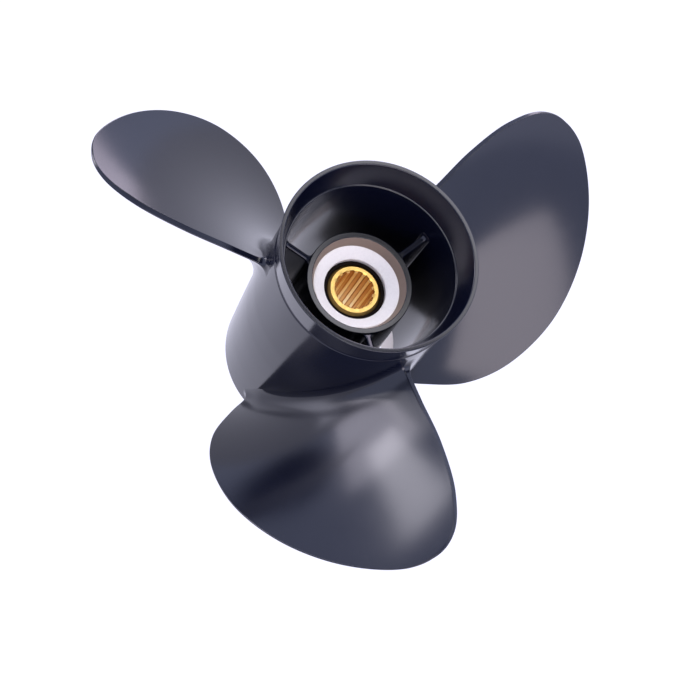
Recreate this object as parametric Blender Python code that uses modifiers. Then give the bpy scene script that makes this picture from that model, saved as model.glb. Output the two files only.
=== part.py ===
# Three-blade propeller of an outboard boat motor, with the exhaust led out through its hub.
# Metres. +Z runs along the shaft to the aft end, and the part stands on the front ring of its barrel.
# The origin is on the shaft axis, level with the middle of the blades' roots, which is the centre of mass
# to within 2 mm. The helix is right-handed: seen from the aft end, which is from above here, the propeller
# drives forward as it turns clockwise.

import math

import bmesh
import bpy
from mathutils import Matrix, Vector

# Driving dimensions. Heights are measured up from the front ring and angles run anticlockwise
# seen from the aft end. The first blade's middle line lies along +X.
LENGTH = 0.1575
FRONT_RING_Z = -0.0784
BLADE_COUNT = 3
GAP = 0.0003
SEGMENTS = 72

# Barrel
RIM_RADIUS = 0.056
RIM_WALL = 0.0025
FLARE_HEIGHT = 0.138
FLARE_RADIUS = 0.0537
BELLY_AFT_HEIGHT = 0.105
BELLY_FRONT_HEIGHT = 0.079
BELLY_RADIUS = 0.0541
TAPER_HEIGHT = 0.04
TAPER_RADIUS = 0.0531
FRONT_RADIUS = 0.0515
FRONT_WALL = 0.003
THROAT_HEIGHT = 0.1406
THROAT_RADIUS = 0.0493
THROAT_LAND = 0.0008
PASSAGE_FRONT_HEIGHT = 0.033
PASSAGE_FRONT_RADIUS = 0.0452
COUNTERBORE_RADIUS = 0.0482

# Inner hub and ribs
HUB_AFT_HEIGHT = 0.118
HUB_FRONT_HEIGHT = 0.035
HUB_AFT_RADIUS = 0.0305
HUB_FRONT_RADIUS = 0.0325
HUB_MOUTH_RADIUS = 0.0273
SEAT_RADIUS = 0.025
SEAT_HEIGHT = 0.1117
SEAT_HOLE_RADIUS = 0.018
SEAT_HOLE_HEIGHT = 0.1083
SHOULDER_HEIGHT = 0.1045
BUSHING_BORE = 0.0258
RIB_THICKNESS = 0.0036
RIB_LEAD = 15.0
RIB_RISE = 0.005
RIB_AFT_SETBACK = 0.001
RIB_FRONT_SETBACK = 0.002

# Rubber bushing and splined sleeve
BUSHING_AFT_HEIGHT = 0.106
BUSHING_FRONT_HEIGHT = 0.037
SLEEVE_RADIUS = 0.0159
SLEEVE_CHAMFER = 0.00195
SLEEVE_AFT_HEIGHT = 0.1072
SLEEVE_FRONT_HEIGHT = 0.034
SPLINE_COUNT = 15
SPLINE_MINOR_RADIUS = 0.0107
SPLINE_MAJOR_RADIUS = 0.01145
SPLINE_GROOVE_WIDTH = 0.0024

# Blade face: its height at the barrel on the middle line, its pitch there, and its rake and camber
BLADE_HEIGHT = -FRONT_RING_Z
ROOT_RADIUS = 0.052
PITCH = 0.531
PITCH_GROWTH = 0.194
RAKE = 0.366
RAKE_CURVE = -0.69
CAMBER = -0.0099
ROOT_THICKNESS = 0.0115
TIP_THICKNESS = 0.003
LEADING_THICKNESS = 0.0012
TRAILING_THICKNESS = 0.003
TRAILING_LEAN = math.radians(28.0)
TIP_EDGE_THICKNESS = 0.001
TIP_EDGE_FROM = 0.65
SWELL_FADE = 0.4
BLADE_ROWS = 30
BLADE_COLUMNS = 12
PATH_STEPS = 12

# Cast fillet at the blade's root: how far it spreads over the barrel and out along the blade
FILLET_FOOT = 0.009
FILLET_REACH = 0.012

# The cutters reach this far past the ends of what they cut, and the barrel's one in to this radius
CUT_MARGIN = 0.01
CUT_CORE_RADIUS = 0.03

# Blade outline seen along the shaft, as radius in millimetres and angle in degrees from the middle
# line: up the leading edge, round the tip and down the trailing edge
BLADE_OUTLINE = [(46.0, -42.5), (57.5, -41.6), (71.0, -40.4), (94.0, -37.1), (113.5, -30.7), (133.5, -20.5),
                 (149.0, -9.0), (160.0, 2.5), (165.2, 13.0), (161.9, 19.3), (152.0, 23.4), (132.0, 26.9),
                 (103.0, 29.7), (77.0, 31.5), (58.0, 34.0), (46.0, 36.5)]

CAST_PAINT = (0.028, 0.03, 0.045)
BARE_METAL = (0.8, 0.79, 0.78)
RUBBER = (0.01, 0.01, 0.011)
BRASS = (0.76, 0.49, 0.16)


def clear_scene():
    for item in list(bpy.data.objects):
        bpy.data.objects.remove(item, do_unlink=True)


def new_collection(name):
    group = bpy.data.collections.new(name)
    bpy.context.scene.collection.children.link(group)
    return group


def material(name, colour, metallic, roughness):
    finish = bpy.data.materials.new(name)
    finish.use_nodes = True
    shader = finish.node_tree.nodes["Principled BSDF"]
    shader.inputs["Base Color"].default_value = (*colour, 1.0)
    shader.inputs["Metallic"].default_value = metallic
    shader.inputs["Roughness"].default_value = roughness
    return finish


def place(name, mesh, finish, group, parent=None):
    item = bpy.data.objects.new(name, mesh)
    group.objects.link(item)
    if finish:
        mesh.materials.append(finish)
    item.parent = parent
    return item


def turned(name, outline, finish, group, parent=None):
    """A ring turned from a closed outline of (radius, height), outer side first and downwards."""
    mesh = bpy.data.meshes.new(name)
    corners = [(radius, 0.0, height + FRONT_RING_Z) for radius, height in outline]
    count = len(corners)
    mesh.from_pydata(corners, [(i, (i + 1) % count) for i in range(count)], [])
    item = place(name, mesh, finish, group, parent)
    screw = item.modifiers.new("Turn", "SCREW")
    screw.axis = "Z"
    screw.steps = SEGMENTS
    screw.render_steps = SEGMENTS
    screw.use_merge_vertices = True
    screw.merge_threshold = 0.0001
    screw.use_smooth_shade = False
    return item


def as_cutter(item):
    item.hide_render = True
    item.display_type = "WIRE"
    return item


def cut(item, cutter):
    boolean = item.modifiers.new("Cut", "BOOLEAN")
    boolean.operation = "DIFFERENCE"
    boolean.solver = "EXACT"
    boolean.object = cutter


def between(low, high, share):
    return low + (high - low) * share


def barrel_outside(swell=0.0):
    """The barrel's outer side from the rim down to the front ring, swollen outwards by a clearance."""
    sides = [(RIM_RADIUS, LENGTH), (FLARE_RADIUS, FLARE_HEIGHT), (BELLY_RADIUS, BELLY_AFT_HEIGHT),
             (BELLY_RADIUS, BELLY_FRONT_HEIGHT), (TAPER_RADIUS, TAPER_HEIGHT), (FRONT_RADIUS, 0.0)]
    return [(radius + swell, height) for radius, height in sides]


def barrel_radius(height):
    sides = barrel_outside()
    for (upper_r, upper_h), (lower_r, lower_h) in zip(sides, sides[1:]):
        if height >= lower_h:
            return between(lower_r, upper_r, min(1.0, (height - lower_h) / (upper_h - lower_h)))
    return FRONT_RADIUS


def passage_radius(height):
    """The barrel's inner wall, which narrows from the throat's land to the front end of the passages."""
    share = (height - PASSAGE_FRONT_HEIGHT) / (THROAT_HEIGHT - PASSAGE_FRONT_HEIGHT)
    return between(PASSAGE_FRONT_RADIUS, THROAT_RADIUS - THROAT_LAND, share)


def hub_radius(height):
    share = (height - HUB_FRONT_HEIGHT) / (HUB_AFT_HEIGHT - HUB_FRONT_HEIGHT)
    return between(HUB_FRONT_RADIUS, HUB_AFT_RADIUS, share)


def make_barrel(finish, group, parent):
    inside = [(FRONT_RADIUS - FRONT_WALL, 0.0), (COUNTERBORE_RADIUS, PASSAGE_FRONT_HEIGHT),
              (PASSAGE_FRONT_RADIUS, PASSAGE_FRONT_HEIGHT), (THROAT_RADIUS - THROAT_LAND, THROAT_HEIGHT),
              (THROAT_RADIUS, THROAT_HEIGHT), (RIM_RADIUS - RIM_WALL, LENGTH)]
    return turned("barrel", barrel_outside() + inside, finish, group, parent)


def make_hub(finish, group, parent):
    outline = [(HUB_AFT_RADIUS, HUB_AFT_HEIGHT), (HUB_FRONT_RADIUS, HUB_FRONT_HEIGHT),
               (BUSHING_BORE, HUB_FRONT_HEIGHT), (BUSHING_BORE, SHOULDER_HEIGHT),
               (SEAT_HOLE_RADIUS, SHOULDER_HEIGHT), (SEAT_HOLE_RADIUS, SEAT_HOLE_HEIGHT),
               (SEAT_RADIUS, SEAT_HEIGHT), (HUB_MOUTH_RADIUS, HUB_AFT_HEIGHT)]
    return turned("inner_hub", outline, finish, group, parent)


def make_rib(number, finish, group, parent):
    """A web from the inner hub out to the barrel, tapered to lie along both."""
    angle = math.radians(RIB_LEAD + 360.0 / BLADE_COUNT * (number - 1))
    mesh = bpy.data.meshes.new(f"rib_{number}")
    web = bmesh.new()
    bmesh.ops.create_cube(web, size=1.0)
    for corner in web.verts:
        outer = corner.co.x > 0
        aft = corner.co.z > 0
        height = PASSAGE_FRONT_HEIGHT + RIB_FRONT_SETBACK
        if aft:
            height = HUB_AFT_HEIGHT + (RIB_RISE if outer else -RIB_AFT_SETBACK)
        radius = passage_radius(height) - GAP if outer else hub_radius(min(height, HUB_AFT_HEIGHT)) + GAP
        side = math.copysign(RIB_THICKNESS / 2, corner.co.y)
        corner.co = (radius, side, height + FRONT_RING_Z)
    bmesh.ops.rotate(web, cent=(0, 0, 0), matrix=Matrix.Rotation(angle, 3, "Z"), verts=web.verts)
    web.to_mesh(mesh)
    web.free()
    return place(f"rib_{number}", mesh, finish, group, parent)


def make_bushing(finish, group, parent):
    inner = SLEEVE_RADIUS + GAP
    outline = [(SEAT_HOLE_RADIUS - GAP, BUSHING_AFT_HEIGHT), (SEAT_HOLE_RADIUS - GAP, SHOULDER_HEIGHT - GAP),
               (BUSHING_BORE - GAP, SHOULDER_HEIGHT - GAP), (BUSHING_BORE - GAP, BUSHING_FRONT_HEIGHT),
               (inner, BUSHING_FRONT_HEIGHT), (inner, BUSHING_AFT_HEIGHT)]
    return turned("rubber_bushing", outline, finish, group, parent)


def make_sleeve(finish, group, cutters, parent):
    """The brass sleeve, with the grooves of its internal splines cut along the bore."""
    rim = SLEEVE_RADIUS - SLEEVE_CHAMFER
    outline = [(rim, SLEEVE_AFT_HEIGHT), (SLEEVE_RADIUS, SLEEVE_AFT_HEIGHT - SLEEVE_CHAMFER),
               (SLEEVE_RADIUS, SLEEVE_FRONT_HEIGHT + SLEEVE_CHAMFER), (rim, SLEEVE_FRONT_HEIGHT),
               (SPLINE_MINOR_RADIUS, SLEEVE_FRONT_HEIGHT), (SPLINE_MINOR_RADIUS, SLEEVE_AFT_HEIGHT)]
    sleeve = turned("splined_sleeve", outline, finish, group, parent)
    mesh = bpy.data.meshes.new("spline_grooves")
    grooves = bmesh.new()
    depth = SPLINE_MAJOR_RADIUS - SPLINE_MINOR_RADIUS
    tall = SLEEVE_AFT_HEIGHT - SLEEVE_FRONT_HEIGHT + 2 * CUT_MARGIN
    middle = (SLEEVE_AFT_HEIGHT + SLEEVE_FRONT_HEIGHT) / 2 + FRONT_RING_Z
    for number in range(SPLINE_COUNT):
        turn = Matrix.Rotation(math.tau * number / SPLINE_COUNT, 4, "Z")
        shift = Matrix.Translation((SPLINE_MAJOR_RADIUS - depth, 0.0, middle))
        size = Matrix.Diagonal((2 * depth, SPLINE_GROOVE_WIDTH, tall, 1.0))
        bmesh.ops.create_cube(grooves, size=1.0, matrix=turn @ shift @ size)
    grooves.to_mesh(mesh)
    grooves.free()
    cut(sleeve, as_cutter(place("spline_grooves", mesh, None, cutters)))
    return sleeve


def smooth_path(points, steps):
    """A curve through the points, with a number of steps between each two of them."""
    ends = [points[0] * 2 - points[1]] + points + [points[-1] * 2 - points[-2]]
    path = []
    for a, b, c, d in zip(ends, ends[1:], ends[2:], ends[3:]):
        knots = [0.0]
        for start, stop in ((a, b), (b, c), (c, d)):
            knots.append(knots[-1] + math.sqrt((stop - start).length))
        for step in range(steps):
            t = between(knots[1], knots[2], step / steps)
            ab = a.lerp(b, (t - knots[0]) / (knots[1] - knots[0]))
            bc = b.lerp(c, (t - knots[1]) / (knots[2] - knots[1]))
            cd = c.lerp(d, (t - knots[2]) / (knots[3] - knots[2]))
            abc = ab.lerp(bc, (t - knots[0]) / (knots[2] - knots[0]))
            bcd = bc.lerp(cd, (t - knots[1]) / (knots[3] - knots[1]))
            path.append(abc.lerp(bcd, (t - knots[1]) / (knots[2] - knots[1])))
    path.append(points[-1])
    return path


def along(path, share):
    """The point at a share of the path's length."""
    lengths = [0.0]
    for start, stop in zip(path, path[1:]):
        lengths.append(lengths[-1] + (stop - start).length)
    want = share * lengths[-1]
    for i in range(len(path) - 1):
        if lengths[i + 1] >= want:
            return path[i].lerp(path[i + 1], (want - lengths[i]) / (lengths[i + 1] - lengths[i]))
    return path[-1]


def face_point(radius, angle):
    """A point of the blade's aft face, the one that pushes the water."""
    out = radius - ROOT_RADIUS
    lead = (PITCH + PITCH_GROWTH * out) / math.tau
    height = BLADE_HEIGHT + RAKE * out + RAKE_CURVE * out ** 2 + lead * angle + CAMBER * angle ** 2
    return Vector((radius * math.cos(angle), radius * math.sin(angle), height + FRONT_RING_Z))


def face_normal(radius, angle):
    step = 0.0005
    turn = 0.01
    outward = face_point(radius + step, angle) - face_point(radius - step, angle)
    around = face_point(radius, angle + turn) - face_point(radius, angle - turn)
    return outward.cross(around).normalized()


def root_fillet(point):
    """How far the cast fillet at the barrel stands proud of the blade's face."""
    away = math.hypot(point.x, point.y) - barrel_radius(point.z - FRONT_RING_Z)
    share = min(max(1 - away / FILLET_REACH, 0.0), 1.0)
    return FILLET_FOOT * (1 - math.sqrt(1 - share ** 2))


def edge_points(trail, thickness, lead):
    """The aft and forward points of the trailing edge, which is cut leaning towards aft."""
    angle = math.atan2(trail.y, trail.x)
    forward = face_point(trail.length, angle)
    inward = (face_point(lead.length, math.atan2(lead.y, lead.x)) - forward).normalized()
    aft = forward + thickness * (face_normal(trail.length, angle) + math.tan(TRAILING_LEAN) * inward)
    return aft, forward


def blade_row(lead, trail, share):
    """The aft and forward points of one row across the blade, from its leading to its trailing edge."""
    tip_share = max(0.0, (share - TIP_EDGE_FROM) / (1 - TIP_EDGE_FROM))
    trailing = between(TRAILING_THICKNESS, TIP_EDGE_THICKNESS, tip_share)
    leading = between(LEADING_THICKNESS, TIP_EDGE_THICKNESS, share)
    thickest = between(ROOT_THICKNESS, TIP_THICKNESS, share)
    fade = math.sin(math.pi * (1 - share) / 2) ** SWELL_FADE
    face_edge, back_edge = edge_points(trail, trailing, lead)
    start = (lead.length, math.atan2(lead.y, lead.x))
    end = (math.hypot(face_edge.x, face_edge.y), math.atan2(face_edge.y, face_edge.x))
    aft = []
    forward = []
    for column in range(BLADE_COLUMNS + 1):
        across = (1 - math.cos(math.pi * column / BLADE_COLUMNS)) / 2
        radius = between(start[0], end[0], across)
        angle = between(start[1], end[1], across)
        point = face_point(radius, angle)
        normal = face_normal(radius, angle)
        edges = between(leading, trailing, across)
        hump = 4 * across * (1 - across)
        fillet = root_fillet(point) * hump
        swell = max(0.0, thickest - edges) * hump * fade
        aft.append(point + fillet * normal)
        forward.append(point - (edges + swell + fillet) * normal)
    forward[-1] = back_edge
    return aft, forward


def blade_mesh():
    """The blade as rows of points, lofted from inside the barrel to the tip."""
    outline = []
    for radius_mm, degrees in BLADE_OUTLINE:
        angle = math.radians(degrees)
        outline.append(Vector((math.cos(angle), math.sin(angle))) * radius_mm / 1000)
    path = smooth_path(outline, PATH_STEPS)
    tip = max(range(len(path)), key=lambda i: path[i].length)
    leading_path = path[:tip + 1]
    trailing_path = path[:tip - 1:-1]
    blade = bmesh.new()
    loops = []
    for row in range(BLADE_ROWS):
        share = (1 - math.cos(math.pi * row / BLADE_ROWS)) / 2
        aft, forward = blade_row(along(leading_path, share), along(trailing_path, share), share)
        loops.append([blade.verts.new(point) for point in aft + forward[::-1]])
    count = len(loops[0])
    for near, far in zip(loops, loops[1:]):
        for i in range(count):
            j = (i + 1) % count
            blade.faces.new((near[i], near[j], far[j], far[i]))
    blade.faces.new(loops[0][::-1])
    tip_point = face_point(path[tip].length, math.atan2(path[tip].y, path[tip].x))
    tip_normal = face_normal(path[tip].length, math.atan2(path[tip].y, path[tip].x))
    ends = (blade.verts.new(tip_point), blade.verts.new(tip_point - TIP_EDGE_THICKNESS * tip_normal))
    last = loops[-1]
    half = BLADE_COLUMNS + 1
    for i in range(half - 1):
        blade.faces.new((last[i], last[i + 1], ends[0]))
        blade.faces.new((last[half + i], last[half + i + 1], ends[1]))
    blade.faces.new((last[half - 1], last[half], ends[1], ends[0]))
    blade.faces.new((last[-1], last[0], ends[0], ends[1]))
    bmesh.ops.triangulate(blade, faces=blade.faces)
    bmesh.ops.recalc_face_normals(blade, faces=blade.faces)
    mesh = bpy.data.meshes.new("blade")
    blade.to_mesh(mesh)
    blade.free()
    return mesh


def make_blades(finish, group, cutters, parent):
    """The blades share one mesh, and each is cut back to the barrel's outer side."""
    clearance = barrel_outside(GAP)
    clearance[0] = (clearance[0][0], LENGTH + CUT_MARGIN)
    clearance[-1] = (clearance[-1][0], -CUT_MARGIN)
    inside = [(CUT_CORE_RADIUS, -CUT_MARGIN), (CUT_CORE_RADIUS, LENGTH + CUT_MARGIN)]
    core = as_cutter(turned("barrel_clearance", clearance + inside, None, cutters))
    mesh = blade_mesh()
    for number in range(BLADE_COUNT):
        blade = place(f"blade_{number + 1}", mesh, finish if number == 0 else None, group, parent)
        blade.rotation_euler = (0.0, 0.0, math.tau * number / BLADE_COUNT)
        cut(blade, core)


clear_scene()
propeller = new_collection("propeller")
cutting = new_collection("cutters")
cutting.hide_render = True
shaft_axis = bpy.data.objects.new("shaft_axis", None)
propeller.objects.link(shaft_axis)

make_barrel(material("barrel_paint", CAST_PAINT, 0.0, 0.3), propeller, shaft_axis)
make_hub(material("hub_casting", BARE_METAL, 1.0, 0.35), propeller, shaft_axis)
make_blades(material("blade_paint", CAST_PAINT, 0.0, 0.3), propeller, cutting, shaft_axis)
rib_paint = material("rib_paint", CAST_PAINT, 0.0, 0.35)
for rib in range(1, BLADE_COUNT + 1):
    make_rib(rib, rib_paint, propeller, shaft_axis)
make_bushing(material("bushing_rubber", RUBBER, 0.0, 0.6), propeller, shaft_axis)
make_sleeve(material("sleeve_brass", BRASS, 1.0, 0.3), propeller, cutting, shaft_axis)
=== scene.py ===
import math

import bmesh
import bpy
from mathutils import Matrix, Vector


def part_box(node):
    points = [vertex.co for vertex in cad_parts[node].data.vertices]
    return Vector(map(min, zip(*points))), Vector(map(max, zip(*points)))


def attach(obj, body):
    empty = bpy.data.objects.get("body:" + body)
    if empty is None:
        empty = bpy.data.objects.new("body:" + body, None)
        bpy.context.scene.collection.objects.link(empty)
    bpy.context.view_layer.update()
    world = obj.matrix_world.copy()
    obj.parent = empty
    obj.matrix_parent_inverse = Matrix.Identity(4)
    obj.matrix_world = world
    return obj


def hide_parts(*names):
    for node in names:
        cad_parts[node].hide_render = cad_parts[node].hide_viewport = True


# Looks of a three-blade outboard propeller: enamelled die-cast aluminium, machined seat, rubber, brass.
# Metres, +Z along the shaft to the aft end. Heights are counted up from the front ring.
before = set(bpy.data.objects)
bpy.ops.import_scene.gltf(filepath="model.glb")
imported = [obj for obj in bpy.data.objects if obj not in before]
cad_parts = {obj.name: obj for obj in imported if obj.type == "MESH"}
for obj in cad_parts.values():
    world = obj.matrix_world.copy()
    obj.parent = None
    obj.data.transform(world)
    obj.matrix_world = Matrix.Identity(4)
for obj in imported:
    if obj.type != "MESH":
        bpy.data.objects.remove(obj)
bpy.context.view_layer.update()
barrelLow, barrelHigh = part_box("barrel")
bushingLow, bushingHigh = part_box("rubber_bushing")
sleeveLow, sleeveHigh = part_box("splined_sleeve")
frontZ = barrelLow.z
rimRadius = barrelHigh.x
barrelLength = barrelHigh.z - frontZ
print("frame loaded, barrel", round(barrelLength * 1000, 1), "mm long")

sharpAngle = 32          # degrees between two faces from which their edge stays crisp
mergeDistance = 1e-7
cornerSegments = 6       # of a rounded corner in a turned outline
mixA, mixB, mixResult = 6, 7, 2   # sockets of a colour Mix node, whose names repeat
ringPerMetre = math.tau / 20      # the Wave Texture's scale for one ring a metre


def mix(low, high, share):
    return low + (high - low) * share


def toLinear(hexColour):  # sRGB hex to linear RGBA
    channels = [int(hexColour[i:i + 2], 16) / 255 for i in (1, 3, 5)]
    return [c / 12.92 if c <= 0.04045 else ((c + 0.055) / 1.055) ** 2.4 for c in channels] + [1.0]


def addNode(tree, kind, inputs=None, **settings):  # a socket among the inputs is linked, all else is set
    node = tree.nodes.new(kind)
    for name, value in settings.items():
        setattr(node, name, value)
    for name, value in (inputs or {}).items():
        if isinstance(value, bpy.types.NodeSocket):
            tree.links.new(value, node.inputs[name])
        else:
            node.inputs[name].default_value = value
    return node


def newMaterial(name):
    material = bpy.data.materials.new(name)
    material.use_nodes = True
    tree = material.node_tree
    place = addNode(tree, "ShaderNodeTexCoord").outputs["Object"]
    return material, tree, tree.nodes["Principled BSDF"], place


def shaftDistance(tree, place):  # how far a point of the surface is from the shaft's axis
    flat = addNode(tree, "ShaderNodeVectorMath", {0: place, 1: (1, 1, 0)}, operation="MULTIPLY")
    length = addNode(tree, "ShaderNodeVectorMath", {0: flat.outputs["Vector"]}, operation="LENGTH")
    return length.outputs["Value"]


# Baked gloss enamel over die-cast aluminium: blue-black and mirror-like, so it takes its tones from the
# softboxes, with soft edges. Faint orange peel and the slow waves of the casting bend what it mirrors.
enamel = {
    "colour": "#050713", "mottle": "#080a17", "mottleSize": 0.014, "mottleDetail": 4.0,
    "roughness": 0.145, "unevenness": 0.03, "indexOfRefraction": 1.42,
    "peelSize": 0.0024, "peelDepth": 0.000003, "peelDetail": 2.0,
    "waveSize": 0.02, "waveDepth": 0.00002, "waveDetail": 1.0,
}


def makeEnamel():
    material, tree, shader, place = newMaterial("bakedEnamel")
    mottle = addNode(tree, "ShaderNodeTexNoise", {"Vector": place, "Scale": 1 / enamel["mottleSize"],
                                                  "Detail": enamel["mottleDetail"]})
    colour = addNode(tree, "ShaderNodeMix", {"Factor": mottle.outputs["Fac"],
                                             mixA: toLinear(enamel["colour"]),
                                             mixB: toLinear(enamel["mottle"])}, data_type="RGBA")
    gloss = addNode(tree, "ShaderNodeMath", {0: mottle.outputs["Fac"], 1: enamel["unevenness"],
                                             2: enamel["roughness"]}, operation="MULTIPLY_ADD")
    wave = addNode(tree, "ShaderNodeTexNoise", {"Vector": place, "Scale": 1 / enamel["waveSize"],
                                                "Detail": enamel["waveDetail"]})
    bend = addNode(tree, "ShaderNodeBump", {"Height": wave.outputs["Fac"], "Distance": enamel["waveDepth"]})
    peel = addNode(tree, "ShaderNodeTexNoise", {"Vector": place, "Scale": 1 / enamel["peelSize"],
                                                "Detail": enamel["peelDetail"]})
    bump = addNode(tree, "ShaderNodeBump", {"Height": peel.outputs["Fac"], "Distance": enamel["peelDepth"],
                                            "Normal": bend.outputs["Normal"]})
    tree.links.new(colour.outputs[mixResult], shader.inputs["Base Color"])
    tree.links.new(gloss.outputs["Value"], shader.inputs["Roughness"])
    tree.links.new(bump.outputs["Normal"], shader.inputs["Normal"])
    shader.inputs["IOR"].default_value = enamel["indexOfRefraction"]
    return material


# Turned aluminium, left bare where the thrust washer and the gearcase sit: bright and satin, with fine tool
# rings about the shaft. A real feed of 0.15 mm is too fine to show, so the rings are drawn 0.7 mm apart.
# The wall above the seat, inside the hub, is coloured a darker tan.
turning = {
    "colour": "#f4efea", "dull": "#e6e0db", "grainSize": 0.0012, "grainDetail": 3.0,
    "metallic": 0.1, "roughness": 0.62,    # so satin that it answers light almost as chalk does
    "ringPitch": 0.0007, "ringDepth": 0.000006, "ringWander": 0.4, "ringDetail": 2.0,
    "wallTan": "#8a786a", "wallTanFrom": 0.0249, "wallTanTo": 0.0251,   # radius where the wall starts
    "socketFrom": 0.04,                    # the gearcase socket starts outside this radius
}


def makeTurnedAluminium():
    material, tree, shader, place = newMaterial("turnedAluminium")
    grain = addNode(tree, "ShaderNodeTexNoise", {"Vector": place, "Scale": 1 / turning["grainSize"],
                                                 "Detail": turning["grainDetail"]})
    colour = addNode(tree, "ShaderNodeMix", {"Factor": grain.outputs["Fac"],
                                             mixA: toLinear(turning["colour"]),
                                             mixB: toLinear(turning["dull"])}, data_type="RGBA")
    radius = shaftDistance(tree, place)
    # the hub's wall above the seat is coloured a darker tan
    wall = addNode(tree, "ShaderNodeMapRange", {"Value": radius, "From Min": turning["wallTanFrom"],
                                                "From Max": turning["wallTanTo"]})
    inHub = addNode(tree, "ShaderNodeMath", {0: radius, 1: turning["socketFrom"]}, operation="LESS_THAN")
    tanShare = addNode(tree, "ShaderNodeMath", {0: wall.outputs["Result"], 1: inHub.outputs["Value"]},
                      operation="MULTIPLY")
    tint = addNode(tree, "ShaderNodeMix", {"Factor": tanShare.outputs["Value"],
                                           mixA: colour.outputs[mixResult],
                                           mixB: toLinear(turning["wallTan"])}, data_type="RGBA")
    rings = addNode(tree, "ShaderNodeTexWave", {"Vector": place,
                                                "Scale": ringPerMetre / turning["ringPitch"],
                                                "Distortion": turning["ringWander"],
                                                "Detail": turning["ringDetail"]},
                    wave_type="RINGS", rings_direction="Z")
    bump = addNode(tree, "ShaderNodeBump", {"Height": rings.outputs["Fac"],
                                            "Distance": turning["ringDepth"]})
    tree.links.new(tint.outputs[mixResult], shader.inputs["Base Color"])
    tree.links.new(bump.outputs["Normal"], shader.inputs["Normal"])
    shader.inputs["Metallic"].default_value = turning["metallic"]
    shader.inputs["Roughness"].default_value = turning["roughness"]
    return material


# Moulded natural rubber, carbon black with a brown cast: it swallows light, only its rim has a dull sheen
cushion = {
    "colour": "#0d0603", "bloom": "#140b06", "bloomSize": 0.003, "bloomDetail": 4.0,
    "roughness": 0.6, "sheen": 0.05,
    "grainSize": 0.0005, "grainDepth": 0.00002, "grainDetail": 2.0,
}


def makeMouldedRubber():
    material, tree, shader, place = newMaterial("mouldedRubber")
    bloom = addNode(tree, "ShaderNodeTexNoise", {"Vector": place, "Scale": 1 / cushion["bloomSize"],
                                                 "Detail": cushion["bloomDetail"]})
    colour = addNode(tree, "ShaderNodeMix", {"Factor": bloom.outputs["Fac"],
                                             mixA: toLinear(cushion["colour"]),
                                             mixB: toLinear(cushion["bloom"])}, data_type="RGBA")
    grain = addNode(tree, "ShaderNodeTexNoise", {"Vector": place, "Scale": 1 / cushion["grainSize"],
                                                 "Detail": cushion["grainDetail"]})
    bump = addNode(tree, "ShaderNodeBump", {"Height": grain.outputs["Fac"],
                                            "Distance": cushion["grainDepth"]})
    tree.links.new(colour.outputs[mixResult], shader.inputs["Base Color"])
    tree.links.new(bump.outputs["Normal"], shader.inputs["Normal"])
    shader.inputs["Roughness"].default_value = cushion["roughness"]
    shader.inputs["Specular IOR Level"].default_value = cushion["sheen"]
    return material


# Broached brass: warm and bright in the bore, with fine scores along the shaft where the broach was pulled
# through. Its grooves are painted browner and its turned face a dull ochre, as painted shade. Real scores
# are finer than a pixel, these are 0.35 mm apart.
brassFinish = {
    "colour": "#ffecb4", "tarnish": "#fbd88e", "cloudSize": 0.004, "cloudDetail": 3.0, "roughness": 0.3,
    # painted shade: the grooves and the turned face are coloured darker than the lands
    "groove": "#d19a4c", "grooveFrom": 0.0109,   # the radius from which the surface is a groove's
    "face": "#9e834b", "faceFrom": 0.0117, "blend": 0.0002,
    "scorePitch": 0.00035, "scoreLength": 0.03, "scoreDepth": 0.000006, "scoreDetail": 2.0,
}


def makeBroachedBrass():
    material, tree, shader, place = newMaterial("broachedBrass")
    cloud = addNode(tree, "ShaderNodeTexNoise", {"Vector": place, "Scale": 1 / brassFinish["cloudSize"],
                                                 "Detail": brassFinish["cloudDetail"]})
    colour = addNode(tree, "ShaderNodeMix", {"Factor": cloud.outputs["Fac"],
                                             mixA: toLinear(brassFinish["colour"]),
                                             mixB: toLinear(brassFinish["tarnish"])}, data_type="RGBA")
    radius = shaftDistance(tree, place)
    # painted shade by radius: browner grooves, then a duller ochre face
    for zone in ("groove", "face"):   # from the lands outwards
        start = brassFinish[zone + "From"]
        inZone = addNode(tree, "ShaderNodeMapRange", {"Value": radius, "From Max": start,
                                                      "From Min": start - brassFinish["blend"]})
        colour = addNode(tree, "ShaderNodeMix", {"Factor": inZone.outputs["Result"],
                                                 mixA: colour.outputs[mixResult],
                                                 mixB: toLinear(brassFinish[zone])}, data_type="RGBA")
    stretch = (1.0, 1.0, brassFinish["scorePitch"] / brassFinish["scoreLength"])
    drawn = addNode(tree, "ShaderNodeMapping", {"Vector": place, "Scale": stretch})
    scores = addNode(tree, "ShaderNodeTexNoise", {"Vector": drawn.outputs["Vector"],
                                                  "Scale": 1 / brassFinish["scorePitch"],
                                                  "Detail": brassFinish["scoreDetail"]})
    bump = addNode(tree, "ShaderNodeBump", {"Height": scores.outputs["Fac"],
                                            "Distance": brassFinish["scoreDepth"]})
    tree.links.new(colour.outputs[mixResult], shader.inputs["Base Color"])
    tree.links.new(bump.outputs["Normal"], shader.inputs["Normal"])
    shader.inputs["Metallic"].default_value = 1.0
    shader.inputs["Roughness"].default_value = brassFinish["roughness"]
    return material


enamelled = makeEnamel()
turned = makeTurnedAluminium()
rubber = makeMouldedRubber()
brass = makeBroachedBrass()
print("finishes mixed")


def finishPiece(name, bm, material, slot, *nodes):
    mesh = bpy.data.meshes.new(name)
    bm.to_mesh(mesh)
    bm.free()
    mesh.materials.append(material)
    mesh.shade_smooth()
    mesh.set_sharp_from_angle(angle=math.radians(sharpAngle))
    piece = bpy.data.objects.new(name, mesh)
    bpy.context.scene.collection.objects.link(piece)
    shading = piece.modifiers.new("flatFacesFirst", "WEIGHTED_NORMAL")
    shading.keep_sharp = True
    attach(piece, "root")
    if nodes:
        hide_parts(*nodes)


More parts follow.
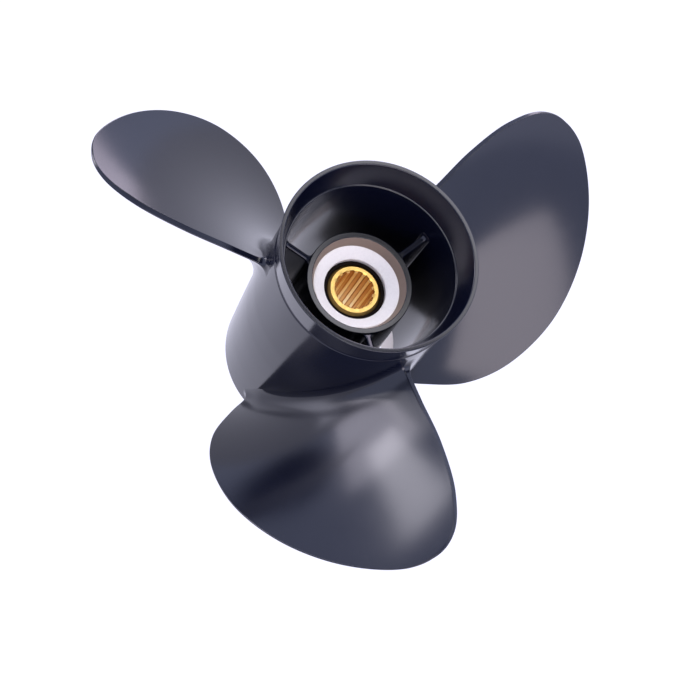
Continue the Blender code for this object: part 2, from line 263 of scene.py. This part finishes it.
def finishThree(name, bm, firstTurn, node):  # one enamelled casting, repeated round the shaft
    for number in range(3):
        copy = bm.copy()
        turn = math.radians(firstTurn) + math.tau * number / 3
        bmesh.ops.rotate(copy, verts=copy.verts, cent=(0, 0, 0), matrix=Matrix.Rotation(turn, 3, "Z"))
        finishPiece(f"{name}{number + 1}", copy, enamelled, "painted_casting", f"{node}_{number + 1}")
    bm.free()


def roundOutline(corners):  # a flat closed face, its (radius, height, rounding) corners rounded
    bm = bmesh.new()
    verts = [bm.verts.new((radius, 0, frontZ + height)) for radius, height, rounding in corners]
    bm.faces.new(verts)
    for vert, (radius, height, rounding) in zip(verts, corners):
        if rounding:
            bmesh.ops.bevel(bm, geom=[vert], offset=rounding, offset_type="OFFSET", segments=cornerSegments,
                            profile=0.5, affect="VERTICES", material=-1)
    return bm


def turnOutline(corners, steps):  # the outline spun about the shaft
    bm = roundOutline(corners)
    bmesh.ops.delete(bm, geom=bm.faces[:], context="FACES_ONLY")
    bmesh.ops.spin(bm, geom=bm.verts[:] + bm.edges[:], cent=(0, 0, 0), axis=(0, 0, 1), dvec=(0, 0, 0),
                   angle=math.tau, steps=steps, use_merge=True)
    bmesh.ops.remove_doubles(bm, verts=bm.verts[:], dist=mergeDistance)
    bmesh.ops.recalc_face_normals(bm, faces=bm.faces[:])
    return bm


def loftRings(rings, closed=False, capFirst=True):  # a ring of edges, extruded from one ring to the next
    bm = bmesh.new()
    column = bm.verts.layers.int.new("column")
    ring = bmesh.ops.create_circle(bm, segments=len(rings[0]), radius=1.0)["verts"]
    for number, vert in enumerate(ring):
        vert[column] = number
        vert.co = rings[0][number]
    firstEdges = bm.edges[:]
    edges = firstEdges
    for points in rings[1:]:
        grown = bmesh.ops.extrude_edge_only(bm, edges=edges)["geom"]
        edges = [item for item in grown if isinstance(item, bmesh.types.BMEdge)]
        for item in grown:
            if isinstance(item, bmesh.types.BMVert):
                item.co = points[item[column]]
    if closed:
        bmesh.ops.bridge_loops(bm, edges=firstEdges + edges)
    else:
        bmesh.ops.contextual_create(bm, geom=edges)
        if capFirst:
            bmesh.ops.contextual_create(bm, geom=firstEdges)
    bmesh.ops.remove_doubles(bm, verts=bm.verts[:], dist=mergeDistance)
    bmesh.ops.recalc_face_normals(bm, faces=bm.faces[:])
    bm.verts.layers.int.remove(bm.verts.layers.int["column"])
    return bm


# Barrel: its outline down the outside and up the passage, each corner a radius, a height and a rounding
barrel = {
    "steps": 360,
    "rimWall": 0.0025, "rimRounding": 0.0005,
    "collar": (0.0535, 0.1386, 0.0003),       # the foot of the flared rim
    "ledge": (0.05395, 0.138, 0.0003),
    "bellyTop": (0.0541, 0.105, 0.012),
    "bellyFoot": (0.0541, 0.079, 0.012),
    "taper": (0.0531, 0.04, 0.015),
    "front": (0.0515, 0.0, 0.0005),
    "mouth": (0.0485, 0.0, 0.0005),
    "socket": (0.0482, 0.033, 0.0003),
    "passage": (0.0452, 0.033, 0.001),
    "land": (0.0485, 0.1406, 0.0004),         # a narrow flat round the throat of the passage
    "throat": (0.0493, 0.1406, 0.0002),
    "corners": ("collar", "ledge", "bellyTop", "bellyFoot", "taper", "front", "mouth", "socket", "passage",
                "land", "throat"),
}


def barrelOutline():
    rim = (rimRadius, barrelLength, barrel["rimRounding"])
    lip = (rimRadius - barrel["rimWall"], barrelLength, barrel["rimRounding"])
    return [rim] + [barrel[corner] for corner in barrel["corners"]] + [lip]


section = roundOutline(barrelOutline())
sectionLines = [[(vert.co.x, vert.co.z - frontZ) for vert in edge.verts] for edge in section.edges]
section.free()


def barrelRadius(height, pick):  # the barrel's outer (pick is max) or inner (min) radius at a height
    radii = []
    for (startR, startH), (endR, endH) in sectionLines:
        if min(startH, endH) <= height <= max(startH, endH) and startH != endH:
            radii.append(mix(startR, endR, (height - startH) / (endH - startH)))
    return pick(radii)


finishPiece("barrelCasting", turnOutline(barrelOutline(), barrel["steps"]), enamelled, "painted_casting",
            "barrel")

# Gearcase socket: the bare skin of the counterbore, which stands just proud of the casting so that it shows
socket = {"proud": 0.00004, "thickness": 0.0003, "start": 0.0006, "lip": 0.0009}


def socketOutline():
    mouthRadius = barrel["mouth"][0]
    socketRadius, endHeight, rounding = barrel["socket"]
    lipRadius = barrel["passage"][0] + socket["lip"]
    proud, thickness, start = socket["proud"], socket["thickness"], socket["start"]
    return [(mouthRadius - proud, start, 0.0), (socketRadius - proud, endHeight - proud, 0.0),
            (lipRadius, endHeight - proud, 0.0), (lipRadius, endHeight + thickness, 0.0),
            (socketRadius + thickness, endHeight + thickness, 0.0), (mouthRadius + thickness, start, 0.0)]


finishPiece("gearcaseSocket", turnOutline(socketOutline(), barrel["steps"]), turned, "machined_casting")
print("barrel turned")

# Blades: the aft face is a raked helicoid, and every section is wrapped round it
blade = {
    "rootRadius": 0.052, "rootHeight": 0.0784,    # the face crosses this height on the middle line
    "pitch": 0.531, "pitchGrowth": 0.194,
    "rake": 0.366, "rakeCurve": -0.69, "camber": -0.0099,
    "rootThickness": 0.0115, "tipThickness": 0.003, "swellFade": 0.4,
    "leadingEdge": 0.0012, "trailingEdge": 0.003, "tipEdge": 0.001, "tipEdgeFrom": 0.65,
    "edgeRounding": 0.0005,
    "tipFade": 0.1,           # the share of the trailing edge over which it thins out to the tip
    "flatShare": 0.45,        # the most of an edge's thickness that one rounding takes
    "trailingLean": 28.0,     # the cut trailing edge leans this many degrees towards aft
    "leanReach": 6,           # the higher, the nearer to the edge the lean stays
    # root fillet from the leading to the trailing edge: share across, foot on the barrel, reach up the blade
    "fillet": [(0.0, 0.009, 0.010), (0.15, 0.014, 0.015), (0.5, 0.011, 0.016), (0.85, 0.010, 0.015),
               (1.0, 0.010, 0.011)],
    "filletEase": (0.35, 0.8),
    "sink": 0.00003, "rootDepth": 0.0008, "rootClosing": (0.5, 0.25, 0.0),
    "rows": 110, "filletRows": 18, "across": 56, "roundSteps": 6,
    # outline seen along the shaft: radius in millimetres, angle in degrees from the middle line
    "outline": [(46.0, -42.5), (57.5, -41.6), (71.0, -40.4), (94.0, -37.1), (113.5, -30.7), (133.5, -20.5),
                (149.0, -9.0), (160.0, 2.5), (165.2, 13.0), (161.9, 19.3), (152.0, 23.4), (132.0, 26.9),
                (103.0, 29.7), (77.0, 31.5), (58.0, 34.0), (46.0, 36.5)],
    "outlineSteps": 24,
}
# how finely the blade's surface is felt out
probe = {"outward": 0.0005, "around": 0.005, "share": 0.004, "rootShare": 0.002, "rootLimit": 0.3,
         "halvings": 22, "evenings": 4}


def smoothPath(points, steps):  # centripetal curve through the points
    ends = [points[0] * 2 - points[1]] + points + [points[-1] * 2 - points[-2]]
    path = []
    for a, b, c, d in zip(ends, ends[1:], ends[2:], ends[3:]):
        knots = [0.0]
        for start, stop in ((a, b), (b, c), (c, d)):
            knots.append(knots[-1] + math.sqrt((stop - start).length))
        for step in range(steps):
            t = mix(knots[1], knots[2], step / steps)
            ab = a.lerp(b, (t - knots[0]) / (knots[1] - knots[0]))
            bc = b.lerp(c, (t - knots[1]) / (knots[2] - knots[1]))
            cd = c.lerp(d, (t - knots[2]) / (knots[3] - knots[2]))
            abc = ab.lerp(bc, (t - knots[0]) / (knots[2] - knots[0]))
            bcd = bc.lerp(cd, (t - knots[1]) / (knots[3] - knots[1]))
            path.append(abc.lerp(bcd, (t - knots[1]) / (knots[2] - knots[1])))
    path.append(points[-1])
    return path


def measured(path):  # the path with its running length
    lengths = [0.0]
    for start, stop in zip(path, path[1:]):
        lengths.append(lengths[-1] + (stop - start).length)
    return path, lengths


def along(path, lengths, share):  # the point at a share of the path's length
    want = min(max(share, 0.0), 1.0) * lengths[-1]
    low = 0
    high = len(path) - 1
    while high - low > 1:
        middle = (low + high) // 2
        if lengths[middle] <= want:
            low = middle
        else:
            high = middle
    return path[low].lerp(path[high], (want - lengths[low]) / (lengths[high] - lengths[low]))


def facePoint(radius, angle):
    out = radius - blade["rootRadius"]
    lead = (blade["pitch"] + blade["pitchGrowth"] * out) / math.tau
    height = blade["rootHeight"] + blade["rake"] * out + blade["rakeCurve"] * out ** 2
    height += lead * angle + blade["camber"] * angle ** 2
    return Vector((radius * math.cos(angle), radius * math.sin(angle), height + frontZ))


def faceNormal(radius, angle):
    outward = facePoint(radius + probe["outward"], angle) - facePoint(radius - probe["outward"], angle)
    around = facePoint(radius, angle + probe["around"]) - facePoint(radius, angle - probe["around"])
    return outward.cross(around).normalized()


def polar(point):
    return math.hypot(point.x, point.y), math.atan2(point.y, point.x)


bladeRim = smoothPath([Vector((r * math.cos(math.radians(a)), r * math.sin(math.radians(a)))) / 1000
                       for r, a in blade["outline"]], blade["outlineSteps"])
tipIndex = max(range(len(bladeRim)), key=lambda i: bladeRim[i].length)
rimPaths = {"leading": measured(bladeRim[:tipIndex + 1]), "trailing": measured(bladeRim[:tipIndex - 1:-1])}


def edgeThickness(side, share):
    if side == "leading":
        return mix(blade["leadingEdge"], blade["tipEdge"], share)
    tipShare = max(0.0, (share - blade["tipEdgeFrom"]) / (1 - blade["tipEdgeFrom"]))
    return mix(blade["trailingEdge"], blade["tipEdge"], tipShare)


def edgeLean(side, thickness):  # how much farther out the forward edge stands than the aft one
    return thickness * math.tan(math.radians(blade["trailingLean"])) if side == "trailing" else 0.0


def outlineFrame(side, share):  # the measured outline on the face helicoid, its normal and the way out
    point = facePoint(*polar(along(*rimPaths[side], share)))
    near = facePoint(*polar(along(*rimPaths[side], share - probe["share"])))
    far = facePoint(*polar(along(*rimPaths[side], share + probe["share"])))
    normal = faceNormal(*polar(point))
    outward = (far - near).cross(normal) if side == "leading" else normal.cross(far - near)
    return point, normal, (outward - outward.dot(normal) * normal).normalized()


def rimPoint(side, share):  # the aft edge of the rim, where the trailing outline gives the forward edge
    point, normal, outward = outlineFrame(side, share)
    if side == "trailing":
        thickness = edgeThickness(side, share) * min(1.0, (1 - share) / blade["tipFade"])
        point = point + thickness * normal - edgeLean(side, thickness) * outward
    return polar(point)


def edgeFrame(side, share):  # where the rounding starts on the aft face, its normal and the way out of it
    radius, angle = rimPoint(side, share)
    outward = outlineFrame(side, share)[2]
    normal = faceNormal(radius, angle)
    outward = (outward - outward.dot(normal) * normal).normalized()
    thickness = edgeThickness(side, share)
    rounding = min(blade["edgeRounding"], blade["flatShare"] * thickness)
    start = polar(facePoint(radius, angle) - rounding * outward)
    return start, faceNormal(*start), outward, thickness, rounding


def bladeColumns():  # the closed loop round a section: aft face, trailing edge, forward face, leading edge
    count = blade["across"]
    shares = [i / count for i in range(count + 1)]
    steps = [(i + 1) / blade["roundSteps"] for i in range(blade["roundSteps"])]
    lean = math.radians(blade["trailingLean"])
    loop = [("aft", share) for share in shares]
    loop += [("trailing", mix(math.pi / 2, lean, step), 1) for step in steps]
    loop += [("trailing", mix(-math.pi / 2, lean, step), -1) for step in reversed(steps)]
    loop += [("forward", share) for share in reversed(shares)]
    loop += [("leading", mix(-math.pi / 2, 0.0, step), -1) for step in steps]
    loop += [("leading", mix(math.pi / 2, 0.0, step), 1) for step in reversed(steps)]
    return loop


def sidePoint(column, share):  # on the aft or forward side, at a share across the blade
    name, across = column
    startLead = edgeFrame("leading", share)[0]
    startTrail, normal, outward, thickness, rounding = edgeFrame("trailing", share)
    radius = mix(startLead[0], startTrail[0], across)
    angle = mix(startLead[1], startTrail[1], across)
    point = facePoint(radius, angle)
    if name == "aft":
        return point
    edges = mix(edgeThickness("leading", share), thickness, across)
    thickest = mix(blade["rootThickness"], blade["tipThickness"], share)
    fade = math.sin(math.pi * (1 - share) / 2) ** blade["swellFade"]
    swell = max(0.0, thickest - edges) * 4 * across * (1 - across) * fade
    lean = edgeLean("trailing", thickness - 2 * rounding) * across ** blade["leanReach"]
    return point - (edges + swell) * faceNormal(radius, angle) + lean * outward


def skinPoint(column, share):
    if column[0] in ("aft", "forward"):
        return sidePoint(column, share)
    side, angle, half = column
    start, normal, outward, thickness, rounding = edgeFrame(side, share)
    centre = facePoint(*start) - rounding * normal
    if half < 0:
        depth = thickness - 2 * rounding
        centre = centre - depth * normal + edgeLean(side, depth) * outward
    return centre + rounding * (math.cos(angle) * outward + math.sin(angle) * normal)


def onBarrel(point, depth):  # pushed to this far below the barrel's outer side
    radius = barrelRadius(point.z - frontZ, max) - depth
    flat = Vector((point.x, point.y)).normalized() * radius
    return Vector((flat.x, flat.y, point.z))


def rootShare(column):  # how far along a column leaves the barrel
    inside = 0.0
    outside = probe["rootLimit"]
    for halving in range(probe["halvings"]):
        middle = (inside + outside) / 2
        point = skinPoint(column, middle)
        if math.hypot(point.x, point.y) < barrelRadius(point.z - frontZ, max):
            inside = middle
        else:
            outside = middle
    return outside


def footWays(corners):  # along the barrel away from the blade, evened out round the root
    count = len(corners)
    ways = []
    for i, corner in enumerate(corners):
        radial = Vector((corner.x, corner.y, 0)).normalized()
        ways.append(radial.cross(corners[(i + 1) % count] - corners[i - 1]).normalized())
    if ways[blade["across"] // 2].z < 0:   # the aft side's feet point aft
        ways = [-way for way in ways]
    for evening in range(probe["evenings"]):
        ways = [(ways[i - 1] + ways[i] * 2 + ways[(i + 1) % count]).normalized() for i in range(count)]
    return ways


def filletSize(column):  # foot and reach of the root fillet at a column
    across = {"leading": 0.0, "trailing": 1.0}.get(column[0], column[1])
    sizes = blade["fillet"]
    for (fromShare, *fromSize), (toShare, *toSize) in zip(sizes, sizes[1:]):
        if across <= toShare:
            share = (1 - math.cos(math.pi * (across - fromShare) / (toShare - fromShare))) / 2
            return [mix(start, stop, share) for start, stop in zip(fromSize, toSize)]


def filletPoint(foot, corner, start, t):  # a fillet that eases out of both of its sides
    near, far = blade["filletEase"]
    controls = [foot, foot.lerp(corner, near), foot.lerp(corner, far),
                start.lerp(corner, far), start.lerp(corner, near), start]
    while len(controls) > 1:
        controls = [first.lerp(second, t) for first, second in zip(controls, controls[1:])]
    return controls[0]


def bladeRings():
    columns = bladeColumns()
    roots = [rootShare(column) for column in columns]
    corners = [skinPoint(column, root) for column, root in zip(columns, roots)]
    feet = []
    starts = []
    for column, root, corner, way in zip(columns, roots, corners, footWays(corners)):
        footSize, reach = filletSize(column)
        metresPerShare = (skinPoint(column, root + probe["rootShare"]) - corner).length / probe["rootShare"]
        feet.append(onBarrel(corner + footSize * way, blade["sink"]))
        starts.append(root + reach / metresPerShare)
    # the root's end follows the barrel inside its wall: each column closes on the one across the blade
    count = len(columns)
    last = 2 * (blade["across"] + blade["roundSteps"]) + 1
    rings = []
    for share in blade["rootClosing"]:
        rings.append([onBarrel(foot.lerp(feet[(last - i) % count], share), blade["rootDepth"])
                      for i, foot in enumerate(feet)])
    tops = [skinPoint(column, start) for column, start in zip(columns, starts)]
    for row in range(blade["filletRows"]):
        t = row / blade["filletRows"]
        rings.append([filletPoint(*ends, t) for ends in zip(feet, corners, tops)])
    for row in range(blade["rows"] + 1):
        share = row / blade["rows"]
        rings.append([skinPoint(column, mix(start, 1.0, share)) for column, start in zip(columns, starts)])
    return rings


finishThree("bladeCasting", loftRings(bladeRings(), capFirst=False), 0.0, "blade")
print("blades lofted")

# Ribs: flat-topped webs between the inner hub and the barrel, with cast fillets at both ends
rib = {"lead": 15.0, "thickness": 0.0036, "footHeight": 0.035, "hubHeight": 0.117, "barrelHeight": 0.123,
       "fillet": 0.003, "corner": 0.0013, "rows": 24, "round": 6, "sides": 30, "sink": 0.0002}

# Inner hub: the cast tube, and the machined seat for the thrust washer in its mouth
hub = {
    "steps": 288, "rounding": 0.0005,
    "aft": (0.0305, 0.118), "front": (0.0325, 0.035), "bore": 0.0258,   # radius and height of the ends
    "mouth": 0.0273, "mouthRounding": 0.0004, "dish": 0.00015,
    "seat": (0.025, 0.1117), "seatHole": (0.018, 0.1083), "seatRounding": 0.0003, "shoulder": 0.1045,
    "relief": 0.0004, "liner": 0.0004, "linerFoot": 0.002, "overlap": 0.0001,
}


def hubRadius(height):
    aftRadius, aftHeight = hub["aft"]
    frontRadius, frontHeight = hub["front"]
    return mix(frontRadius, aftRadius, (height - frontHeight) / (aftHeight - frontHeight))


def ribSection(top, foot, half):  # (sideways, height) points round a web with small round corners
    corner = rib["corner"]
    points = []
    for turn, (side, height) in enumerate(((1, top), (-1, top), (-1, foot), (1, foot))):
        middle = height - corner if height == top else height + corner
        for step in range(rib["round"] + 1):
            angle = math.pi / 2 * (turn + step / rib["round"])
            points.append((side * (half - corner) + corner * math.cos(angle),
                           middle + corner * math.sin(angle)))
        if turn in (1, 3):
            low, high = (top - corner, foot + corner) if turn == 1 else (foot + corner, top - corner)
            points += [(side * half, mix(low, high, step / rib["sides"])) for step in range(1, rib["sides"])]
    return points


def ribRings():
    rings = []
    span = barrel["throat"][0] - hub["aft"][0]
    for row in range(rib["rows"] + 1):
        across = (1 - math.cos(math.pi * row / rib["rows"])) / 2
        flare = 0.0
        for distance in (across * span, (1 - across) * span):
            short = min(max(rib["fillet"] - distance, 0.0), rib["fillet"])
            flare += rib["fillet"] - math.sqrt(rib["fillet"] ** 2 - short ** 2)
        top = mix(rib["hubHeight"], rib["barrelHeight"], across) + flare * across
        ring = []
        for sideways, height in ribSection(top, rib["footHeight"], rib["thickness"] / 2 + flare):
            inner = hubRadius(min(height, hub["aft"][1])) - rib["sink"]
            outer = barrelRadius(height, min) + rib["sink"]
            ring.append(Vector((mix(inner, outer, across), sideways, frontZ + height)))
        rings.append(ring)
    return rings


def tubeOutline():
    aftRadius, aftHeight = hub["aft"]
    frontRadius, frontHeight = hub["front"]
    seatRadius, seatHeight = hub["seat"]
    wallRadius = seatRadius + hub["liner"]
    rounding = hub["rounding"]
    return [(aftRadius, aftHeight, rounding), (frontRadius, frontHeight, rounding),
            (hub["bore"], frontHeight, rounding), (hub["bore"], hub["shoulder"], 0.0),
            (wallRadius, hub["shoulder"], 0.0), (wallRadius, seatHeight - hub["linerFoot"], 0.0),
            (hub["mouth"], aftHeight - hub["dish"], hub["mouthRounding"])]


def seatOutline():  # a leaning wall, a relief groove at its foot and the sloping seat
    aftHeight = hub["aft"][1] - hub["liner"]
    seatRadius, seatHeight = hub["seat"]
    holeRadius, holeHeight = hub["seatHole"]
    relief, liner, overlap = hub["relief"], hub["liner"], hub["overlap"]
    footHeight = hub["shoulder"] - overlap
    return [(hub["mouth"] + liner, aftHeight, 0.0), (seatRadius + 2 * liner, footHeight, 0.0),
            (holeRadius, footHeight, 0.0), (holeRadius, holeHeight, hub["seatRounding"]),
            (seatRadius - relief, seatHeight, overlap), (seatRadius - relief, seatHeight - relief, overlap),
            (seatRadius, seatHeight - relief, overlap), (hub["mouth"] - overlap, aftHeight, overlap)]


finishThree("ribCasting", loftRings(ribRings()), rib["lead"], "rib")
print("ribs lofted")
finishPiece("hubCasting", turnOutline(tubeOutline(), hub["steps"]), enamelled, "painted_casting",
            "inner_hub")
finishPiece("washerSeat", turnOutline(seatOutline(), hub["steps"]), turned, "machined_casting")
print("hub turned")

# Bushing: the rubber's top stands inside the seat's hole, the rest fills the tube
bushing = {"gap": 0.0003, "overlap": 0.0001, "rounding": 0.0004, "footRounding": 0.0008}


def bushingOutline():
    topRadius = hub["seatHole"][0] - bushing["overlap"]
    outerRadius = hub["bore"] - bushing["gap"]
    innerRadius = sleeveHigh.x - bushing["overlap"]
    top = bushingHigh.z - frontZ
    foot = bushingLow.z - frontZ
    shoulder = hub["shoulder"] - bushing["gap"]
    return [(topRadius, top, bushing["rounding"]), (topRadius, shoulder, 0.0),
            (outerRadius, shoulder, bushing["rounding"]), (outerRadius, foot, bushing["footRounding"]),
            (innerRadius, foot, 0.0), (innerRadius, top, 0.0)]


finishPiece("rubberBushing", turnOutline(bushingOutline(), hub["steps"]), rubber, "bushing_rubber",
            "rubber_bushing")

# Sleeve: brass with a broached spline, countersunk at both ends
sleeve = {"splines": 15, "minor": 0.0107, "major": 0.01145, "groove": 0.0024, "slope": 0.2,
          "countersink": 0.0117, "countersinkDepth": 0.0006, "chamfer": 0.00195, "steps": 32}


def splineRadius(angle):  # the bore's radius at an angle: lands, and grooves with slightly open sides
    pitch = math.tau / sleeve["splines"]
    phase = (angle + pitch / 2) % pitch - pitch / 2
    halfGroove = sleeve["groove"] / (sleeve["minor"] + sleeve["major"])
    edge = (halfGroove - abs(phase)) / (sleeve["slope"] * halfGroove)
    share = min(1.0, max(0.0, edge / 2 + 0.5))
    return mix(sleeve["minor"], sleeve["major"], share)


def sleeveRings():
    count = sleeve["splines"] * sleeve["steps"]
    angles = [math.tau * i / count for i in range(count)]
    bore = [splineRadius(angle) for angle in angles]
    mouth = [sleeve["countersink"]] * count
    outer = [sleeveHigh.x] * count
    edge = [sleeveHigh.x - sleeve["chamfer"]] * count
    chamfer, depth = sleeve["chamfer"], sleeve["countersinkDepth"]
    low, high = sleeveLow.z, sleeveHigh.z
    rows = [(mouth, low), (bore, low + depth), (bore, high - depth), (mouth, high),
            (edge, high), (outer, high - chamfer), (outer, low + chamfer), (edge, low)]
    return [[Vector((radius * math.cos(angle), radius * math.sin(angle), z))
             for radius, angle in zip(radii, angles)] for radii, z in rows]


finishPiece("splinedSleeve", loftRings(sleeveRings(), closed=True), brass, "sleeve_brass", "splined_sleeve")
print("bushing and sleeve made")

# Studio: a glowing light table, which the photograph's cut-out white stands for. The enamel shows hardly
# anything but reflections, so each softbox stands where the photograph's surfaces mirror one.


def direction(azimuth, elevation):  # degrees, azimuth from +X towards +Y
    level = math.cos(math.radians(elevation))
    return Vector((level * math.cos(math.radians(azimuth)), level * math.sin(math.radians(azimuth)),
                   math.sin(math.radians(elevation))))


# Opal acrylic sheet lit from below: an even white, and a painted pool of light on the left up to a straight
# edge
lightTable = {"size": 12.0, "drop": 0.0002, "base": "#202020", "colour": "#ebebff", "glow": 1.25,
              "pool": 3.2, "poolPlace": (-0.38, 0.5), "poolInner": 0.08, "poolOuter": 0.62,
              "edgeWay": 195.6, "edgeDistance": 0.077, "edgeSoftness": 0.02}


def makeOpalAcrylic():
    material, tree, shader, place = newMaterial("opalAcrylic")
    # painted pool of light: extra glow round poolPlace, only past the straight edge
    pool = Vector((*lightTable["poolPlace"], frontZ))
    away = addNode(tree, "ShaderNodeVectorMath", {0: place, 1: pool}, operation="DISTANCE")
    near = addNode(tree, "ShaderNodeMapRange", {"Value": away.outputs["Value"], "To Min": lightTable["pool"],
                                                "From Min": lightTable["poolInner"], "To Max": 0.0,
                                                "From Max": lightTable["poolOuter"]},
                   interpolation_type="SMOOTHSTEP")
    across = addNode(tree, "ShaderNodeVectorMath", {0: place, 1: direction(lightTable["edgeWay"], 0)},
                     operation="DOT_PRODUCT")
    edge, softness = lightTable["edgeDistance"], lightTable["edgeSoftness"]
    side = addNode(tree, "ShaderNodeMapRange", {"Value": across.outputs["Value"],
                                                "From Min": edge - softness, "From Max": edge + softness},
                   interpolation_type="SMOOTHSTEP")
    glow = addNode(tree, "ShaderNodeMath", {0: near.outputs["Result"], 1: side.outputs["Result"],
                                            2: lightTable["glow"]}, operation="MULTIPLY_ADD")
    tree.links.new(glow.outputs["Value"], shader.inputs["Emission Strength"])
    shader.inputs["Emission Color"].default_value = toLinear(lightTable["colour"])
    shader.inputs["Base Color"].default_value = toLinear(lightTable["base"])
    shader.inputs["Roughness"].default_value = 1.0
    shader.inputs["Specular IOR Level"].default_value = 0.0
    return material


bm = bmesh.new()
bmesh.ops.create_grid(bm, x_segments=1, y_segments=1, size=lightTable["size"] / 2,
                      matrix=Matrix.Translation((0, 0, frontZ - lightTable["drop"])))
floorMesh = bpy.data.meshes.new("lightTable")
bm.to_mesh(floorMesh)
bm.free()
floorMesh.materials.append(makeOpalAcrylic())
floor = bpy.data.objects.new("lightTable", floorMesh)
bpy.context.scene.collection.objects.link(floor)

# azimuth, elevation, width and height in degrees as seen from the propeller, colour, brightness of the face
softboxes = {
    "rightBox": (255, 30, 48, 32, "#fff2f8", 5.09),
    "leftCore": (124.5, 28, 10, 26, "#f9f5ff", 9.5),
    "leftPanel": (124, 6, 22, 34, "#f8f1ff", 5.63),
    "leftEdge": (137, 14, 10, 24, "#fffaff", 2.53),
    "frontBox": (322, 38, 24, 34, "#e8e7ff", 1.03),
    "sideBox": (50, 20, 24, 48, "#fdedff", 4.92),
    "overhead": (36, 55, 26, 16, "#fffcff", 5.2),
    "zenithBox": (33, 80, 22, 20, "#ffffff", 8.0),
}
boxDistance = 4.0
for name, (azimuth, elevation, width, height, colour, glow) in softboxes.items():
    light = bpy.data.lights.new(name, "AREA")
    light.shape = "RECTANGLE"
    light.size = 2 * boxDistance * math.tan(math.radians(width / 2))
    light.size_y = 2 * boxDistance * math.tan(math.radians(height / 2))
    light.color = toLinear(colour)[:3]
    light.energy = math.pi * light.size * light.size_y * glow
    lamp = bpy.data.objects.new(name, light)
    towards = direction(azimuth, elevation)
    lamp.location = towards * boxDistance
    lamp.rotation_euler = towards.to_track_quat("Z", "Y").to_euler()
    lamp.visible_camera = False
    bpy.context.scene.collection.objects.link(lamp)

# Room: a bluish wall up to a dark ceiling, with a dark patch low on the left and one high on the right
room = {"colour": "#d3dbff", "glow": 1.95, "top": 58, "softness": 5,
        "flags": [(100, 9, 5, 12), (353, 42, 6, 10)]}   # azimuth, elevation, dark and fading radius
world = bpy.data.worlds.new("studioRoom")
world.use_nodes = True
tree = world.node_tree
around = addNode(tree, "ShaderNodeTexCoord").outputs["Generated"]
upward = addNode(tree, "ShaderNodeSeparateXYZ", {"Vector": around})
slope = addNode(tree, "ShaderNodeMath", {0: upward.outputs["Z"]}, operation="ARCSINE")
degrees = addNode(tree, "ShaderNodeMath", {0: slope.outputs["Value"]}, operation="DEGREES")
wall = addNode(tree, "ShaderNodeMapRange", {"Value": degrees.outputs["Value"], "To Min": room["glow"],
                                            "From Min": room["top"] - room["softness"], "To Max": 0.0,
                                            "From Max": room["top"] + room["softness"]},
               interpolation_type="SMOOTHSTEP")
strength = wall.outputs["Result"]
for azimuth, elevation, dark, fading in room["flags"]:
    closeness = addNode(tree, "ShaderNodeVectorMath", {0: around, 1: direction(azimuth, elevation)},
                        operation="DOT_PRODUCT")
    clear = addNode(tree, "ShaderNodeMapRange", {"Value": closeness.outputs["Value"], "To Min": 1.0,
                                                 "From Min": math.cos(math.radians(fading)), "To Max": 0.0,
                                                 "From Max": math.cos(math.radians(dark))},
                    interpolation_type="SMOOTHSTEP")
    strength = addNode(tree, "ShaderNodeMath", {0: strength, 1: clear.outputs["Result"]},
                       operation="MULTIPLY").outputs["Value"]
backdrop = tree.nodes["Background"]
backdrop.inputs["Color"].default_value = toLinear(room["colour"])
tree.links.new(strength, backdrop.inputs["Strength"])
bpy.context.scene.world = world
print("studio lit")

# Camera at the photograph's place, looking down into the aft end
view = {"place": (-0.3770, -0.2432, 0.8885), "target": (-0.0413, -0.0379, 0.0791), "roll": 37.58,
        "lens": 91.31, "sensor": 36.0}
cameraData = bpy.data.cameras.new("camera")
cameraData.lens = view["lens"]
cameraData.sensor_width = view["sensor"]
camera = bpy.data.objects.new("camera", cameraData)
camera.location = view["place"]
aim = (Vector(view["target"]) - Vector(view["place"])).to_track_quat("-Z", "Y")
camera.rotation_euler = (aim.to_matrix() @ Matrix.Rotation(math.radians(view["roll"]), 3, "Z")).to_euler()
bpy.context.scene.collection.objects.link(camera)
bpy.context.scene.camera = camera
bpy.context.scene.view_settings.view_transform = "Standard"
